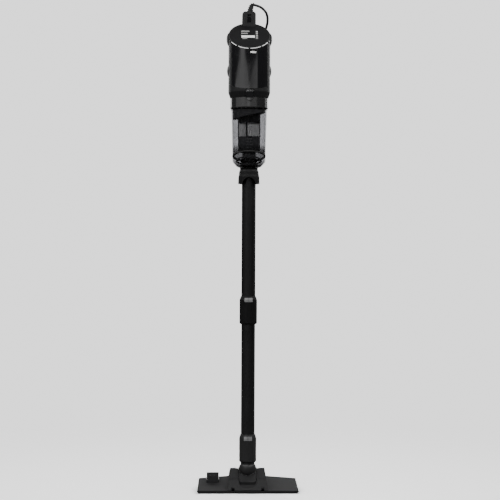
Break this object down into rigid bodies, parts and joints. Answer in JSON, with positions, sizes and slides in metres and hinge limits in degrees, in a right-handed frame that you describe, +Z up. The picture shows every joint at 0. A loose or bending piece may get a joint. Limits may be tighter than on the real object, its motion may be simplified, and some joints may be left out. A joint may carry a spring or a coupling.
{
  "type": "upright stick vacuum cleaner",
  "caption": "Corded upright stick vacuum: wide low floor nozzle with a tilting, swivelling neck, sectional wand, see-through dust cup and a motor unit with a loop handle.",
  "frame": {"origin": "on the floor, at the sole's underside, on the wand's axis", "axes": "+Z up along the wand; -Y is the front, where the nozzle's long front edge is; +Y is the user's side, with the handle; +X is to the right as seen from the front"},
  "size_m": [0.2332, 0.1898, 1.1363],
  "materials": {
    "nozzle_plastic": "fine texture",
    "body_plastic": "satin",
    "gloss_black": "polished",
    "smoked_clear": "smoked, clear",
    "collar_smoke": "smoked, dense",
    "tube_coat": "satin black coat",
    "steel": "plain",
    "motor_core": "laminated",
    "fan_metal": "pressed",
    "rubber_black": "soft",
    "cord_jacket": "smooth",
    "filter_paper": "pleated paper",
    "filter_foam": "open foam",
    "bristle": "nylon tufts",
    "label_white": "blank print",
    "carbon": "graphite"
  },
  "bodies": {
    "floor_nozzle": {"nozzle_cover": "nozzle_plastic", "sole_plate": "nozzle_plastic", "nozzle_screws": "steel", "hinge_cradle": "body_plastic", "hinge_bearings": "nozzle_plastic", "front_bumper": "rubber_black", "wheel_axles": "body_plastic", "pedal_pin": "steel"},
    "wheel_left": {"wheel_left": "rubber_black"},
    "wheel_right": {"wheel_right": "rubber_black"},
    "foot_pedal": {"pedal": "gloss_black"},
    "brush": {"brush_carrier": "body_plastic", "brush_bristles": "bristle"},
    "neck_lower": {"neck_elbow": "body_plastic", "swivel_ring": "gloss_black"},
    "neck_upper": {"neck_socket": "body_plastic"},
    "neck_button": {"neck_button": "gloss_black"},
    "lower_wand": {"lower_tube": "tube_coat", "mid_collar": "body_plastic"},
    "mid_button": {"mid_button": "gloss_black"},
    "upper_wand": {"upper_tube": "tube_coat"},
    "cup_unit": {"inlet_collar": "body_plastic", "dust_cup": "smoked_clear", "cup_base": "smoked_clear", "cup_seal": "rubber_black", "inlet_pipe": "body_plastic", "guard_ring": "body_plastic", "cup_collar": "collar_smoke"},
    "inlet_button": {"inlet_button": "gloss_black"},
    "inlet_flap": {"inlet_flap": "rubber_black"},
    "filter_set": {"filter_basket": "body_plastic", "hepa_filter": "filter_paper", "filter_frame": "body_plastic", "spiral_guide": "body_plastic"},
    "motor_unit": {"motor_housing": "body_plastic", "front_cover": "gloss_black", "rear_cover": "body_plastic", "cap_ring": "gloss_black", "end_cap": "body_plastic", "exhaust_filter": "filter_foam", "rating_label": "label_white", "handle_left": "body_plastic", "handle_right": "body_plastic", "grip_pad": "rubber_black", "handle_screws": "steel", "cord_hooks": "body_plastic", "cable_boot": "rubber_black", "power_cord": "cord_jacket", "cord_hank": "cord_jacket", "cord_tail": "cord_jacket", "mains_plug": "rubber_black", "intake_grille": "body_plastic", "fan_shroud": "fan_metal", "motor_stator": "motor_core", "motor_mounts": "rubber_black", "carbon_brushes": "carbon"},
    "rotor": {"armature": "motor_core", "fan_impeller": "fan_metal"},
    "cup_release": {"cup_release": "gloss_black"},
    "power_switch": {"power_switch": "gloss_black"}
  },
  "joints": [
    {"name": "neck_tilt", "type": "hinge", "parent": "floor_nozzle", "child": "neck_lower", "pos_m": [0, -0.008, 0.027], "axis": [-1, 0, 0], "range_deg": [0, 75]},
    {"name": "neck_swivel", "type": "hinge", "parent": "neck_lower", "child": "neck_upper", "pos_m": [0, 0, 0.05], "axis": [0, -0.5736, 0.8192], "range_deg": [-40, 40]},
    {"name": "lower_wand_pull", "type": "slide", "parent": "neck_upper", "child": "lower_wand", "axis": [0, 0, 1], "range_m": [0, 0.06]},
    {"name": "upper_wand_pull", "type": "slide", "parent": "lower_wand", "child": "upper_wand", "axis": [0, 0, 1], "range_m": [0, 0.055]},
    {"name": "hand_unit_pull", "type": "slide", "parent": "upper_wand", "child": "cup_unit", "axis": [0, 0, 1], "range_m": [0, 0.045]},
    {"name": "motor_unit_lift", "type": "slide", "parent": "cup_unit", "child": "motor_unit", "axis": [0, 0, 1], "range_m": [0, 0.12]},
    {"name": "filter_lift", "type": "slide", "parent": "cup_unit", "child": "filter_set", "axis": [0, 0, 1], "range_m": [0, 0.06]},
    {"name": "rotor_spin", "type": "hinge", "parent": "motor_unit", "child": "rotor", "pos_m": [0, 0, 0.96], "axis": [0, 0, 1], "continuous": true},
    {"name": "cup_release_slide", "type": "slide", "parent": "motor_unit", "child": "cup_release", "axis": [0, 0, 1], "range_m": [0, 0.003], "stiffness_N_per_m": 300},
    {"name": "power_switch_slide", "type": "slide", "parent": "motor_unit", "child": "power_switch", "axis": [0, 0, 1], "range_m": [0, 0.0052]},
    {"name": "neck_button_press", "type": "slide", "parent": "neck_upper", "child": "neck_button", "axis": [0, 1, 0], "range_m": [0, 0.0018], "stiffness_N_per_m": 400},
    {"name": "mid_button_press", "type": "slide", "parent": "lower_wand", "child": "mid_button", "axis": [0, 1, 0], "range_m": [0, 0.0018], "stiffness_N_per_m": 400},
    {"name": "inlet_button_press", "type": "slide", "parent": "cup_unit", "child": "inlet_button", "axis": [0, -1, 0], "range_m": [0, 0.0018], "stiffness_N_per_m": 400},
    {"name": "inlet_flap_hinge", "type": "hinge", "parent": "cup_unit", "child": "inlet_flap", "pos_m": [0, 0.0165, 0.797], "axis": [-1, 0, 0], "range_deg": [0, 28]},
    {"name": "pedal_rock", "type": "hinge", "parent": "floor_nozzle", "child": "foot_pedal", "pos_m": [-0.0805, 0.026, 0.014], "axis": [-1, 0, 0], "range_deg": [0, 8]},
    {"name": "brush_lift", "type": "slide", "parent": "floor_nozzle", "child": "brush", "axis": [0, 0, -1], "range_m": [0, 0.003]},
    {"name": "wheel_left_roll", "type": "hinge", "parent": "floor_nozzle", "child": "wheel_left", "pos_m": [-0.03575, 0.035, 0.00915], "axis": [1, 0, 0], "continuous": true},
    {"name": "wheel_right_roll", "type": "hinge", "parent": "floor_nozzle", "child": "wheel_right", "pos_m": [0.03575, 0.035, 0.00915], "axis": [1, 0, 0], "continuous": true}
  ],
  "couplings": [
    {"joint": "brush_lift", "follows": "pedal_rock", "m_per_rad": 0.021476},
    {"joint": "filter_lift", "follows": "motor_unit_lift", "ratio": 0.5}
  ]
}
